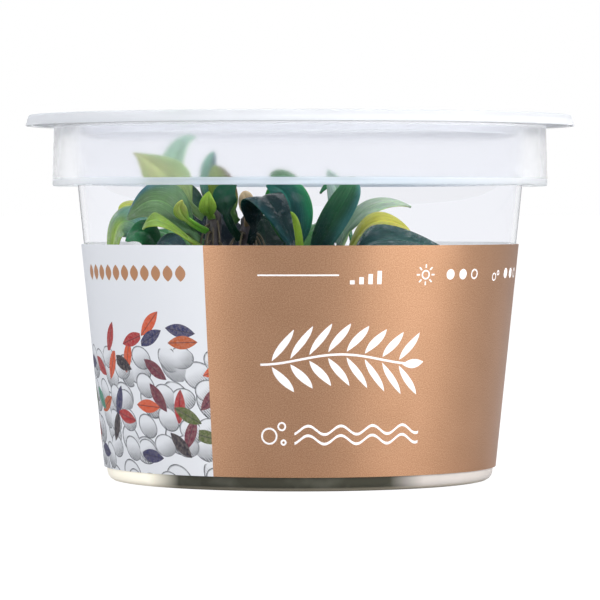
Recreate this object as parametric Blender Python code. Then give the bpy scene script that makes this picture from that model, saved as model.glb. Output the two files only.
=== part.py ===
"""Bucephalandra plantlets in a clear, lidded tissue-culture cup.

The named values are in millimetres, and MM turns them into the scene's metres. The cup stands on its foot
ring at z = 0 with its axis on Z, and the front of its wrap label faces -Y. Pieces that touch keep GAP.
"""

import math

import bmesh
import bpy
from mathutils import Vector

MM = 0.001
GAP = 0.3  # clearance between pieces that touch
FACETS = 40  # facets round the turned pieces
ROUND = 0.3  # small rounding of the moulded edges

# Cup
WALL = 0.9  # thickness of the cup's wall and floor
BODY_RADIUS = 35.5  # outer radius of the tapered wall at CORNER_Z
CORNER_Z = 1.5  # top of the rounded corner under the wall
TAPER = 0.1028  # how much the radius grows for each millimetre of height
FOOT_INNER, FOOT_OUTER = 31.0, 34.0  # the flat ring that the cup stands on
FOOT_SLOPE = 0.8  # run of the slope from the foot ring up to the raised base
BASE_LIFT = 1.0  # how far the middle of the base is raised off the table
INSIDE_CORNER = 1.5  # radius of the corner between the floor and the inside of the wall
FLANGE_RADIUS = 49.3
FLANGE_LOW, FLANGE_TOP = 65.1, 65.9
SKIRT_LOW = 54.0  # lower edge of the collar that hangs from the flange
SKIRT_RADIUS_TOP, SKIRT_RADIUS_LOW = 45.25, 45.55
BEAD_HEIGHT = 1.2  # thickened lower edge of the collar
BEAD_DEPTH = 0.4
MOUTH_ROUND = 0.5  # rounding of the inner edge of the mouth

# Lid
LID_WALL = 0.8
LID_TOP = 67.0
RIM_LOW = 65.0  # lower edge of the rim that closes over the flange
RIM_RADIUS_TOP, RIM_RADIUS_LOW = 49.9, 50.5
RECESS_RADIUS = 35.0  # shallow round recess that takes the foot of a cup stacked on top
RECESS_DEPTH = 0.7
RECESS_SLOPE = 0.4
SEAL_RADIUS_TOP, SEAL_RADIUS_LOW = 40.75, 40.3  # ring that plugs the cup's mouth
SEAL_LOW = 63.6
SEAL_WALL = 0.7
RIM_WALL = 0.6

# Label and gel
LABEL_LOW, LABEL_TOP = 2.55, 43.4
LABEL_THICKNESS = 0.3
SEAM_ANGLE = math.radians(2.0)  # gap where the label's ends meet at the back
GEL_TOP = 12.0
GEL_CORNER = 2.0  # size of the gel's lower corner, which clears the cup's
MENISCUS = 0.6  # how far the gel creeps up the wall
MENISCUS_WIDTH = 1.4

# Stems: foot on the gel, middle, top
STEM_SIDES = 7
STEM_RINGS = 7
STEM_RADIUS_FOOT, STEM_RADIUS_TOP = 1.9, 1.35
NODE_SWELL = 0.12  # swelling at every other ring, where an old leaf stood
BUD_LENGTH = 1.2  # length of the growing tip, as a share of the stem's radius
STEM_FOOT_Z = GEL_TOP + GAP + 0.9
STEMS = {
    "left": ((-22.5, -9.5), (-25, -11, 26), (-22.5, -11, 43.5)),
    "centre_left": ((-13, -14), (-15.5, -16, 30), (-15.5, -13.5, 49)),
    "centre": ((-6, -9), (-9.5, -12, 30), (-9.3, -11.5, 48)),
    "middle": ((1, -12), (2.5, -8, 26), (0.5, -8.5, 40)),
    "right": ((9, -5), (8, -7, 26), (5.0, -7.5, 43.5)),
    "back_left": ((-17, 12), (-20, 13, 28), (-17, 11, 43)),
    "back": ((-1, 17), (-3, 15, 28), (-1, 13, 42)),
    "back_right": ((15, 13), (14.5, 14, 24), (13, 11, 36)),
}

# Leaves
BELLY_AT = 0.6  # share of the midrib's length at which it passes the leaf's middle point
START_OUTWARD = 0.6  # how far a petiole leans away from its stem before it turns to the leaf
START_REACH = 0.4  # length of that first stretch, as a share of the way to the blade's middle
PETIOLE_SHARE = 0.2  # share of the leaf that is petiole
PETIOLE_HALF_WIDTH = 0.75
PETIOLE_OF_WIDTH = 0.22  # a narrow leaf's petiole is this share of its width, each side
BLADE_THICKNESS = 0.55
PETIOLE_THICKNESS = 0.9
FOLD = 0.16  # how far the margins stand above the midrib, as a share of the half width
DOME = 0.12  # how far they droop again towards the edge
WAVE = 0.05  # waviness of the margins
WAVES = 7  # how fast the margin waves along the leaf
EDGE_THINNING = 0.35
BLADE_POWER = 0.85  # below 1 the blade is fuller, above 1 it is more pointed
LEAF_RINGS = (0.0, 0.12, 0.26, 0.42, 0.58, 0.74, 0.89)  # sections before the tip
MIDDLE_RING = 4
SECTION = (-1.0, -0.55, 0.0, 0.55)  # places across the upper side; the underside runs back

# stem, share of its height, middle of the blade, tip, width, way the upper side looks, kind
LEAVES = [
    ("left", 0.98, (-23.7, -1, 57.3), (-19.0, 1, 63.5), 4.8, (-0.35, -0.85, 0.3), "pale"),
    ("centre_left", 0.98, (-23.7, -16, 55.0), (-30.3, -13, 60.2), 8.4, (-0.05, -0.8, 0.6), "bright"),
    ("centre_left", 0.86, (-24.2, -20, 50.8), (-31.2, -17.5, 47.6), 9.0, (-0.15, -0.8, 0.6), "green"),
    ("left", 0.97, (-32.0, -9, 47.4), (-34.1, -8.5, 37.0), 9.3, (-0.55, -0.5, 0.7), "green"),
    ("left", 0.90, (-29.9, 1, 48.8), (-33.6, 2, 49.0), 5.0, (0.0, -0.3, 1.0), "yellow"),
    ("centre_left", 0.83, (-24.1, -24.9, 47.3), (-28.0, -23.9, 46.0), 5.6, (-0.1, -0.6, 0.8), "bright"),
    ("centre_left", 0.50, (-21.6, -26.4, 41.9), (-26.2, -25.2, 41.6), 5.8, (-0.1, -0.6, 0.8), "dark"),
    ("centre_left", 0.92, (-20.9, -21.5, 48.6), (-20.9, -24.0, 51.4), 2.6, (-0.2, -0.9, 0.2), "bright"),
    ("centre_left", 1.00, (-16.8, -7, 56.0), (-15.6, -5, 60.6), 5.0, (-0.75, -0.6, 0.2), "dark"),
    ("centre", 0.98, (-14.0, -10.8, 53.0), (-15.6, -11.0, 57.8), 5.2, (0.1, -0.9, 0.4), "bright"),
    ("centre_left", 0.98, (-16.6, -19.0, 50.1), (-16.3, -20.0, 53.0), 3.2, (0.0, -1.0, 0.2), "yellow"),
    ("centre", 0.90, (-13.6, -17.3, 50.6), (-11.3, -16.0, 54.1), 4.6, (0.0, -0.95, 0.3), "dark"),
    ("centre", 0.97, (-9.6, -15.8, 50.4), (-10.3, -16.6, 53.0), 3.0, (0.2, -0.9, 0.2), "dry"),
    ("centre", 0.88, (-6.9, -18.5, 51.9), (-0.8, -24, 42.0), 8.6, (0.36, -0.62, 0.7), "dark"),
    ("middle", 0.97, (-1.7, -12.5, 50.0), (-6.3, -13.5, 53.9), 8.0, (0.1, -0.9, 0.35), "dark"),
    ("middle", 0.99, (-2.6, -5.5, 51.0), (-5.6, -6, 56.1), 7.8, (0.1, -0.9, 0.3), "green"),
    ("middle", 0.80, (-0.9, -17.2, 45.2), (-2.0, -17.2, 49.0), 2.6, (0.0, -1.0, 0.1), "yellow"),
    ("middle", 0.86, (6.6, -18.4, 48.9), (9.8, -20.0, 55.2), 5.4, (0.2, -0.95, 0.15), "dark"),
    ("right", 1.00, (7.2, -9, 51.0), (4.9, -8, 57.0), 4.2, (-0.3, -0.9, 0.2), "pale"),
    ("back_right", 0.98, (7.8, 3, 51.2), (3.6, 2, 52.4), 3.5, (0.0, -0.35, 0.95), "green"),
    ("right", 0.97, (12.5, -5.5, 49.8), (20.6, -4.5, 50.0), 5.4, (0.0, -0.45, 0.9), "pale"),
    ("right", 0.90, (12.5, -12.5, 46.6), (20.1, -11.5, 45.6), 7.4, (0.1, -0.5, 0.9), "yellow"),
    ("right", 0.66, (11.8, -22.5, 43.1), (28.4, -18, 41.0), 11.0, (0.1, -0.6, 0.8), "dark"),
    ("left", 0.92, (-27.4, -16, 45.2), (-31.5, -15, 43.8), 6.0, (-0.2, -0.7, 0.7), "green"),
    ("back_left", 0.98, (-22.0, 12, 50.0), (-27.0, 11, 53.0), 9.0, (0.1, -0.8, 0.5), "dark"),
    ("back_left", 0.90, (-15.0, 6, 47.5), (-15.5, 3, 52.0), 7.0, (0.1, -0.9, 0.3), "dark"),
    ("back_left", 0.85, (-24.0, 18, 44.0), (-29.0, 20, 45.0), 8.0, (-0.3, 0.2, 0.9), "green"),
    ("back", 0.98, (-7.0, 9, 44.5), (-11.0, 6, 48.0), 8.0, (-0.1, -0.9, 0.3), "dark"),
    ("back", 0.92, (2.0, 20, 46.0), (3.0, 27, 45.0), 8.0, (0.0, 0.3, 0.9), "green"),
    ("back", 0.85, (-8.0, 20, 44.0), (-13.0, 26, 43.0), 8.0, (-0.1, 0.3, 0.9), "dark"),
    ("back_right", 0.95, (19.0, 14, 42.0), (25.0, 16, 43.0), 8.0, (0.3, 0.2, 0.9), "green"),
    ("back_right", 0.90, (14.0, 20, 41.0), (15.0, 27, 40.0), 7.0, (0.1, 0.4, 0.9), "dark"),
    ("centre", 0.72, (-14.0, -5, 44.0), (-19.5, -3, 49.0), 9.0, (0.1, -0.8, 0.5), "dark"),
    ("centre", 0.70, (-6.5, -3, 42.0), (-7.5, 0.5, 48.0), 9.0, (0.0, -0.9, 0.4), "dark"),
    ("left", 0.45, (-29.0, -8, 31.0), (-33.0, -4, 29.0), 8.0, (-0.3, 0.0, 0.95), "green"),
    ("centre_left", 0.45, (-19.0, -23, 32.0), (-22.0, -28, 31.0), 8.0, (-0.1, -0.4, 0.9), "dark"),
    ("middle", 0.50, (3.0, -20, 30.0), (4.0, -28, 29.0), 8.0, (0.0, -0.4, 0.9), "green"),
    ("right", 0.50, (17.0, -11, 30.0), (26.0, -13, 30.0), 8.0, (0.2, -0.2, 0.95), "dark"),
    ("right", 0.70, (13.0, -2, 36.0), (20.0, 2, 37.0), 7.0, (0.2, 0.0, 0.95), "bright"),
    ("back_right", 0.50, (21.0, 10, 27.0), (28.0, 8, 27.0), 8.0, (0.2, 0.0, 0.95), "green"),
    ("back_right", 0.45, (16.0, 22, 25.0), (17.0, 29, 25.0), 7.0, (0.0, 0.3, 0.95), "dark"),
    ("back", 0.50, (-3.0, 23, 30.0), (-5.0, 30, 30.0), 8.0, (0.0, 0.3, 0.95), "bright"),
    ("back_left", 0.50, (-26.0, 14, 30.0), (-32.0, 13, 30.0), 8.0, (-0.2, 0.0, 0.95), "dark"),
    ("centre", 0.50, (-3.0, -4, 32.0), (0.0, 3, 33.0), 7.0, (0.1, 0.2, 0.95), "green"),
    ("back_left", 0.60, (-12.0, 17, 34.0), (-8.0, 22, 35.0), 7.0, (0.1, 0.3, 0.95), "green"),
]

# Single leaves that differ from the rest: share that is petiole, lean at the start, fullness of the blade
LEAF_SHAPES = {
    2: (PETIOLE_SHARE, START_OUTWARD, 1.45),
    8: (0.45, START_OUTWARD, BLADE_POWER),
    10: (PETIOLE_SHARE, START_OUTWARD, 0.7),
    12: (0.42, START_OUTWARD, 1.1),
    13: (0.35, START_OUTWARD, 0.6),
    17: (PETIOLE_SHARE, START_OUTWARD, 1.2),
    18: (PETIOLE_SHARE, -1.0, 0.65),
    21: (PETIOLE_SHARE, -0.3, 1.2),
    22: (PETIOLE_SHARE, START_OUTWARD, 0.72),
    23: (0.1, 0.0, 0.65),
}

# Colours, roughness and see-through share of each material
FINISHES = {
    "clear_plastic": ((0.92, 0.94, 0.96), 0.12, 0.9),
    "label_print": ((0.56, 0.36, 0.22), 0.38, 0.0),
    "culture_gel": ((0.42, 0.43, 0.37), 0.25, 0.5),
    "stem": ((0.16, 0.12, 0.13), 0.5, 0.0),
    "dark": ((0.04, 0.12, 0.09), 0.3, 0.0),
    "green": ((0.13, 0.26, 0.12), 0.3, 0.0),
    "bright": ((0.35, 0.46, 0.14), 0.35, 0.0),
    "yellow": ((0.55, 0.56, 0.14), 0.35, 0.0),
    "pale": ((0.42, 0.6, 0.5), 0.35, 0.0),
    "dry": ((0.45, 0.38, 0.27), 0.6, 0.0),
}


def clear_scene():
    for item in list(bpy.data.objects):
        bpy.data.objects.remove(item, do_unlink=True)


def finish(name):
    """The named material, made once."""
    found = bpy.data.materials.get(name)
    if found:
        return found
    colour, roughness, clear = FINISHES[name]
    material = bpy.data.materials.new(name)
    material.use_nodes = True
    shader = material.node_tree.nodes["Principled BSDF"]
    shader.inputs["Base Color"].default_value = (*colour, 1.0)
    shader.inputs["Roughness"].default_value = roughness
    shader.inputs["Metallic"].default_value = 0.0
    shader.inputs["Transmission Weight"].default_value = clear
    return material


def place(name, bm, material, crease=35.0):
    """Turns a bmesh in millimetres into a named object in metres, shaded smooth."""
    bmesh.ops.remove_doubles(bm, verts=bm.verts, dist=0.001)
    bmesh.ops.recalc_face_normals(bm, faces=bm.faces)
    bmesh.ops.scale(bm, vec=(MM, MM, MM), verts=bm.verts)
    mesh = bpy.data.meshes.new(name)
    bm.to_mesh(mesh)
    bm.free()
    mesh.shade_smooth()
    mesh.set_sharp_from_angle(angle=math.radians(crease))
    mesh.materials.append(finish(material))
    item = bpy.data.objects.new(name, mesh)
    bpy.context.collection.objects.link(item)
    return item


def turned(name, profile, material, sweep=2 * math.pi):
    """Spins a profile of (radius, z) points round Z. One that starts off the axis is a closed loop."""
    bm = bmesh.new()
    verts = [bm.verts.new((radius, 0.0, z)) for radius, z in profile]
    edges = [bm.edges.new(pair) for pair in zip(verts, verts[1:])]
    if profile[0][0] > 0:
        edges.append(bm.edges.new((verts[-1], verts[0])))
    whole = sweep >= 2 * math.pi
    spun = bmesh.ops.spin(
        bm, geom=verts + edges, axis=(0, 0, 1), cent=(0, 0, 0), angle=sweep, steps=FACETS, use_merge=whole
    )
    if not whole:
        ends = [item for item in spun["geom_last"] if isinstance(item, bmesh.types.BMVert)]
        bm.faces.new(verts)
        bm.faces.new(ends)
    return place(name, bm, material)


def wall_outside(z):
    return BODY_RADIUS + TAPER * (z - CORNER_Z)


def wall_inside(z):
    return wall_outside(z) - WALL


def make_cup():
    floor = BASE_LIFT + WALL
    corner = BODY_RADIUS - FOOT_OUTER
    bend = math.sqrt(0.5)
    base = [
        (0, BASE_LIFT),
        (FOOT_INNER - FOOT_SLOPE, BASE_LIFT),
        (FOOT_INNER, 0),
        (FOOT_OUTER, 0),
        (FOOT_OUTER + corner * bend, CORNER_Z * (1 - bend)),
        (BODY_RADIUS, CORNER_Z),
    ]
    skirt_inside = SKIRT_RADIUS_TOP - WALL
    bead_inside = SKIRT_RADIUS_LOW - WALL
    collar = [
        (wall_outside(FLANGE_LOW), FLANGE_LOW),
        (skirt_inside, FLANGE_LOW),
        (bead_inside, SKIRT_LOW + BEAD_HEIGHT),
        (bead_inside - BEAD_DEPTH, SKIRT_LOW + 0.5 * BEAD_HEIGHT),
        (bead_inside, SKIRT_LOW),
        (SKIRT_RADIUS_LOW - ROUND, SKIRT_LOW),
        (SKIRT_RADIUS_LOW, SKIRT_LOW + ROUND),
        (SKIRT_RADIUS_TOP, FLANGE_LOW - ROUND),
        (SKIRT_RADIUS_TOP + ROUND, FLANGE_LOW),
    ]
    flange = [
        (FLANGE_RADIUS - ROUND, FLANGE_LOW),
        (FLANGE_RADIUS, 0.5 * (FLANGE_LOW + FLANGE_TOP)),
        (FLANGE_RADIUS - ROUND, FLANGE_TOP),
        (wall_inside(FLANGE_TOP) + MOUTH_ROUND, FLANGE_TOP),
        (wall_inside(FLANGE_TOP - MOUTH_ROUND), FLANGE_TOP - MOUTH_ROUND),
    ]
    wall_foot = wall_inside(floor + INSIDE_CORNER)
    inside = [
        (wall_foot, floor + INSIDE_CORNER),
        (wall_foot - INSIDE_CORNER * (1 - bend), floor + INSIDE_CORNER * (1 - bend)),
        (wall_foot - INSIDE_CORNER, floor),
        (0, floor),
    ]
    return turned("cup", base + collar + flange + inside, "clear_plastic")


def make_lid():
    under = LID_TOP - LID_WALL
    rim_inside = FLANGE_RADIUS + GAP
    top = [
        (0, LID_TOP - RECESS_DEPTH),
        (RECESS_RADIUS - RECESS_SLOPE, LID_TOP - RECESS_DEPTH),
        (RECESS_RADIUS + RECESS_SLOPE, LID_TOP),
        (RIM_RADIUS_TOP - ROUND, LID_TOP),
        (RIM_RADIUS_TOP, LID_TOP - ROUND),
        (RIM_RADIUS_LOW, RIM_LOW + 0.5 * ROUND),
        (RIM_RADIUS_LOW - 0.5 * ROUND, RIM_LOW),
        (RIM_RADIUS_LOW - RIM_WALL, RIM_LOW),
    ]
    below = [
        (rim_inside, under - ROUND),
        (rim_inside - ROUND, under),
        (SEAL_RADIUS_TOP, under),
        (SEAL_RADIUS_LOW, SEAL_LOW + ROUND),
        (SEAL_RADIUS_LOW - ROUND, SEAL_LOW),
        (SEAL_RADIUS_LOW - SEAL_WALL, SEAL_LOW + 0.5 * ROUND),
        (SEAL_RADIUS_TOP - SEAL_WALL, under),
        (RECESS_RADIUS + RECESS_SLOPE + ROUND, under),
        (RECESS_RADIUS + ROUND, under - RECESS_DEPTH),
        (0, under - RECESS_DEPTH),
    ]
    return turned("lid", top + below, "clear_plastic")


def make_label():
    profile = []
    for z in (LABEL_LOW, LABEL_TOP):
        profile.append((wall_outside(z) + GAP, z))
    for z in (LABEL_TOP, LABEL_LOW):
        profile.append((wall_outside(z) + GAP + LABEL_THICKNESS, z))
    label = turned("label", profile, "label_print", sweep=2 * math.pi - SEAM_ANGLE)
    seam_at_back = math.pi / 2 + SEAM_ANGLE / 2
    for vert in label.data.vertices:
        x, y, z = vert.co
        cos, sin = math.cos(seam_at_back), math.sin(seam_at_back)
        vert.co = (x * cos - y * sin, x * sin + y * cos, z)
    return label


def make_gel():
    low = BASE_LIFT + WALL + GAP
    edge = GEL_TOP + MENISCUS
    profile = [
        (0, low),
        (wall_inside(low) - GAP - GEL_CORNER, low),
        (wall_inside(low) - GAP - 0.3 * GEL_CORNER, low + 0.5 * GEL_CORNER),
        (wall_inside(low + GEL_CORNER) - GAP, low + GEL_CORNER),
        (wall_inside(edge) - GAP, edge),
        (wall_inside(edge) - GAP - MENISCUS_WIDTH, GEL_TOP),
        (0, GEL_TOP),
    ]
    return turned("gel", profile, "culture_gel")


def stem_points(name):
    (foot_x, foot_y), middle, top = STEMS[name]
    return Vector((foot_x, foot_y, STEM_FOOT_Z)), Vector(middle), Vector(top)


def on_stem(name, share):
    """Centre of the stem at a share of its height, on one smooth bend through its three points."""
    foot, middle, top = stem_points(name)
    control = 2 * middle - 0.5 * (foot + top)
    return (1 - share) ** 2 * foot + 2 * share * (1 - share) * control + share**2 * top


def stem_radius(share):
    return STEM_RADIUS_FOOT + (STEM_RADIUS_TOP - STEM_RADIUS_FOOT) * share


def skin(name, rings, tip, material):
    """Joins rings of points into a closed body, capped at its start and drawn to a tip at its end."""
    bm = bmesh.new()
    loops = [[bm.verts.new(point) for point in ring] for ring in rings]
    last = bm.verts.new(tip)
    for low, high in zip(loops, loops[1:]):
        for i in range(len(low)):
            j = (i + 1) % len(low)
            bm.faces.new((low[i], low[j], high[j], high[i]))
    for i in range(len(loops[-1])):
        j = (i + 1) % len(loops[-1])
        bm.faces.new((loops[-1][i], loops[-1][j], last))
    bm.faces.new(list(reversed(loops[0])))
    return place(name, bm, material, crease=60.0)


def make_stem(name, number):
    rings = []
    for k in range(STEM_RINGS):
        share = k / (STEM_RINGS - 1)
        centre = on_stem(name, share)
        along = (on_stem(name, share + 0.01) - on_stem(name, share - 0.01)).normalized()
        side = along.cross(Vector((0, 1, 0))).normalized()
        out = along.cross(side)
        radius = stem_radius(share) * (1 + NODE_SWELL * (k % 2))
        ring = []
        for i in range(STEM_SIDES):
            turn = 2 * math.pi * i / STEM_SIDES
            ring.append(centre + radius * (math.cos(turn) * side + math.sin(turn) * out))
        rings.append(ring)
    bud = on_stem(name, 1.0) + BUD_LENGTH * STEM_RADIUS_TOP * along
    return skin(f"rhizome_{number}", rings, bud, "stem")


def leaf_path(stem, share, belly, tip, outward):
    """Control points of the midrib, a cubic curve that leaves the stem and passes the belly."""
    root = on_stem(stem, share)
    away = Vector((belly[0] - root.x, belly[1] - root.y, 0.0)).normalized()
    start = root + away * (stem_radius(share) + 2 * GAP)
    belly, tip = Vector(belly), Vector(tip)
    reach = (belly - start).length
    lean = ((belly - start).normalized() + outward * away).normalized()
    first = start + lean * START_REACH * reach
    t = BELLY_AT
    w0, w1, w2, w3 = (1 - t) ** 3, 3 * t * (1 - t) ** 2, 3 * t * t * (1 - t), t**3
    second = (belly - w0 * start - w1 * first - w3 * tip) / w2
    return start, first, second, tip


def on_path(path, t):
    p0, p1, p2, p3 = path
    point = (1 - t) ** 3 * p0 + 3 * t * (1 - t) ** 2 * p1 + 3 * t * t * (1 - t) * p2 + t**3 * p3
    along = (1 - t) ** 2 * (p1 - p0) + 2 * t * (1 - t) * (p2 - p1) + t * t * (p3 - p2)
    return point, along.normalized()


def blade_half_width(t, width, petiole_share, power):
    """Half width of the leaf: a narrow petiole, then a blade that is widest in its middle."""
    petiole = min(PETIOLE_HALF_WIDTH, PETIOLE_OF_WIDTH * width)
    if t <= petiole_share:
        return petiole
    q = (t - petiole_share) / (1 - petiole_share)
    swell = (4 * q * (1 - q)) ** power
    return max(petiole * (1 - q), 0.5 * width * swell)


def leaf_frames(path, face):
    """The midrib's sections, with the way up carried along it without twist from the belly."""
    frames = [on_path(path, t) for t in LEAF_RINGS]
    ups = [None] * len(frames)
    along = frames[MIDDLE_RING][1]
    ups[MIDDLE_RING] = (face - face.dot(along) * along).normalized()
    for order in (range(MIDDLE_RING + 1, len(frames)), range(MIDDLE_RING - 1, -1, -1)):
        before = MIDDLE_RING
        for k in order:
            turn = frames[before][1].rotation_difference(frames[k][1])
            ups[k] = turn @ ups[before]
            before = k
    return [(point, along, up) for (point, along), up in zip(frames, ups)]


def make_leaf(number, stem, share, belly, tip, width, face, kind):
    petiole_share, outward, power = LEAF_SHAPES.get(number, (PETIOLE_SHARE, START_OUTWARD, BLADE_POWER))
    path = leaf_path(stem, share, belly, tip, outward)
    rings = []
    for t, (point, along, up) in zip(LEAF_RINGS, leaf_frames(path, Vector(face))):
        side = along.cross(up)
        half = blade_half_width(t, width, petiole_share, power)
        thick = PETIOLE_THICKNESS if t <= petiole_share else BLADE_THICKNESS
        ring = []
        for top, places in ((1, SECTION), (-1, tuple(-v for v in SECTION))):
            for v in places:
                edge = abs(v)
                lift = half * (FOLD * edge - DOME * v * v)
                lift += half * WAVE * edge * math.sin(WAVES * t + number + 2 * v)
                rise = 0.5 * thick * (0.0 if edge == 1.0 else 1.0 - EDGE_THINNING * edge)
                ring.append(point + side * half * v + up * (lift + top * rise))
        rings.append(ring)
    return skin(f"leaf_{number:02d}", rings, path[3], kind)


def main():
    clear_scene()
    make_cup()
    make_lid()
    make_label()
    make_gel()
    for number, name in enumerate(STEMS, 1):
        make_stem(name, number)
    for number, row in enumerate(LEAVES, 1):
        make_leaf(number, *row)


main()
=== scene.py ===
import math
import random
from functools import partialmethod

import bmesh
import bpy
from mathutils import Matrix, Vector, noise


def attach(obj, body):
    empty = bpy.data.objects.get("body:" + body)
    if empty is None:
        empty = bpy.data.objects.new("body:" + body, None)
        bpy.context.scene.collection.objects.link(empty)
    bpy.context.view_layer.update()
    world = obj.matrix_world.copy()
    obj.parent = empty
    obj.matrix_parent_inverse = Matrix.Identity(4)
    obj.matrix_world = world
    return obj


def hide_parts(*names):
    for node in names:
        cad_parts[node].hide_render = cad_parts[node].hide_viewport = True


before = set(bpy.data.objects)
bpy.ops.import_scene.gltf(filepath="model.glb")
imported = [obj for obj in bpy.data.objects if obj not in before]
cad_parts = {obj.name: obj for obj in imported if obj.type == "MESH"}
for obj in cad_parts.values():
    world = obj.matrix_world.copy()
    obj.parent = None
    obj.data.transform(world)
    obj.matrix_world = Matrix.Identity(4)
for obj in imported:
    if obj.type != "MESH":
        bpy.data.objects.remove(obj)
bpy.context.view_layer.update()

mm = 0.001
fullTurn = 2 * math.pi
cornerSteps = 4  # segments of a rounded corner


# Small tools that every piece uses
def linear(hexColour):
    # a screen colour such as "#b4e0c0" as the numbers that a shader works in
    levels = [int(hexColour[i:i + 2], 16) / 255 for i in (1, 3, 5)]
    return tuple(c / 12.92 if c <= 0.04045 else ((c + 0.055) / 1.055) ** 2.4 for c in levels)


def between(low, high, share):
    return tuple(a + (b - a) * share for a, b in zip(low, high))


def easy(low, high, value):
    share = min(1, max(0, (value - low) / (high - low)))
    return share * share * (3 - 2 * share)


def mergeDoubles(bm, near=0.003):
    bmesh.ops.remove_doubles(bm, verts=bm.verts, dist=near * mm)


def facesOut(bm):
    bmesh.ops.recalc_face_normals(bm, faces=bm.faces)


def objectOf(name, bm, materials):
    mesh = bpy.data.meshes.new(name)
    bm.to_mesh(mesh)
    bm.free()
    for material in materials:
        mesh.materials.append(material)
    made = bpy.data.objects.new(name, mesh)
    bpy.context.collection.objects.link(made)
    return made


def makePiece(name, bm, materials, nodes=(), sharpFrom=None):
    piece = objectOf(name, bm, materials)
    piece.data.shade_smooth()
    if sharpFrom:
        piece.data.set_sharp_from_angle(angle=math.radians(sharpFrom))
    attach(piece, "root")
    if nodes:
        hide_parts(*nodes)
    return piece


class Tree:
    # the node tree of a new material or of the world, with short ways to add and join its nodes
    def __init__(self, name, home=bpy.data.materials):
        self.material = home.new(name)
        self.material.use_nodes = True
        self.nodes = self.material.node_tree.nodes
        self.links = self.material.node_tree.links
        self.shader = self.nodes.get("Principled BSDF") or self.nodes["Background"]

    def put(self, socket, value):
        if isinstance(value, bpy.types.NodeSocket):
            self.links.new(value, socket)
        elif socket.type == "RGBA":
            socket.default_value = (*value[:3], 1)
        else:
            socket.default_value = value

    def add(self, kind, output=0, **values):
        # a key in lower case is a setting of the node, one with a capital is an input
        made = self.nodes.new("ShaderNode" + kind)
        for key, value in values.items():
            if key.islower():
                setattr(made, key, value)
            else:
                self.put(made.inputs[key.replace("_", " ")], value)
        return made.outputs[output]

    def math(self, operation, first, second=0, third=0):
        made = self.nodes.new("ShaderNodeMath")
        made.operation = operation
        for socket, value in zip(made.inputs, (first, second, third)):
            self.put(socket, value)
        return made.outputs[0]

    times = partialmethod(math, "MULTIPLY")
    divide = partialmethod(math, "DIVIDE")
    minus = partialmethod(math, "SUBTRACT")
    absolute = partialmethod(math, "ABSOLUTE")
    above = partialmethod(math, "GREATER_THAN")
    below = partialmethod(math, "LESS_THAN")
    most = partialmethod(math, "MAXIMUM")

    def far(self, x, y):
        return self.math("SQRT", self.math("MULTIPLY_ADD", x, x, self.times(y, y)))

    def mix(self, share, low, high, way="MIX"):
        made = self.nodes.new("ShaderNodeMix")
        made.data_type = "RGBA"
        made.blend_type = way
        self.put(made.inputs[0], share)
        self.put(made.inputs[6], low)
        self.put(made.inputs[7], high)
        return made.outputs[2]

    def spread(self, value, low, high, toLow=0, toHigh=1):
        return self.add("MapRange", Value=value, From_Min=low, From_Max=high, To_Min=toLow, To_Max=toHigh)

    def place(self):
        return self.add("TexCoord", "Object")

    def parts(self, value):
        return self.add("SeparateXYZ", Vector=value).node.outputs

    def inMillimetres(self):
        return [self.divide(part, mm) for part in self.parts(self.place())]

    def grain(self, where, scale, detail=2, rough=0.5):
        return self.add("TexNoise", "Fac", Vector=where, Scale=scale, Detail=detail, Roughness=rough)

    def bump(self, height, strength, depth, **under):
        return self.add("Bump", Height=height, Strength=strength, Distance=depth * mm, **under)

    def layers(self, colour, follows, rows, way="MIX"):
        # colours laid over one another: what each follows, from where to where, its share at both, its shade
        for name, low, high, first, last, shade in rows:
            colour = self.mix(self.spread(follows[name], low, high, first, last), colour, shade, way)
        return colour

    def allOf(self, whole, *masks):
        for mask in masks:
            whole = self.times(whole, mask)
        return whole

    def anyOf(self, whole, *masks):
        for mask in masks:
            whole = self.most(whole, mask)
        return whole

    def rays(self, *kinds):
        # 1 for the light rays of these kinds, 0 for the rest
        path = self.nodes.new("ShaderNodeLightPath")
        return self.anyOf(*(path.outputs[f"Is {kind} Ray"] for kind in kinds))

    def set(self, **values):
        for key, value in values.items():
            self.put(self.shader.inputs[key.replace("_", " ")], value)
        return self.material


# Camera: the photograph is taken level with the leaves, through a long lens
cameraSetup = dict(
    lens=240, sensor=36, near=0.05, distance=738 * mm, height=49.6 * mm, tilt=math.atan(90 / 4000),
)


def makeCamera():
    data = bpy.data.cameras.new("camera")
    data.lens = cameraSetup["lens"]
    data.sensor_width = cameraSetup["sensor"]
    data.clip_start = cameraSetup["near"]
    camera = bpy.data.objects.new("camera", data)
    camera.location = (0, -cameraSetup["distance"], cameraSetup["height"])
    camera.rotation_euler = (math.radians(90) - cameraSetup["tilt"], 0, 0)
    bpy.context.collection.objects.link(camera)
    bpy.context.scene.camera = camera


makeCamera()
print("camera ready")


# Clear plastic: plain walls, a hazier moulded collar and lid. Their rims, seen through edgeways, are milky:
# the look turns from clear to milky between the two values of milkyFrom, across the radius or up the height
plasticLooks = {
    "wallPlastic": dict(
        colour=(0.925, 0.93, 0.952), roughness=0.02, clear=1, ior=1.06, through=0.97, bump=0.05,
    ),
    "collarPlastic": dict(
        colour=(0.97, 0.975, 0.99), roughness=0.26, clear=0.95, ior=1.07, through=0.96,
        bump=0.03, milky=0.55, milkyColour=(0.8, 0.81, 0.83), along="height", milkyFrom=(64.5, 65),
    ),
    "lidPlastic": dict(
        colour=(0.96, 0.965, 0.985), roughness=0.3, clear=0.95, ior=1.05, through=0.95,
        bump=0.01, milky=0.5, milkyColour=(0.77, 0.78, 0.8), along="radius", milkyFrom=(41, 44),
    ),
}
moulded = dict(ripple=180, depth=0.1)  # the slight unevenness of moulded plastic


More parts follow.
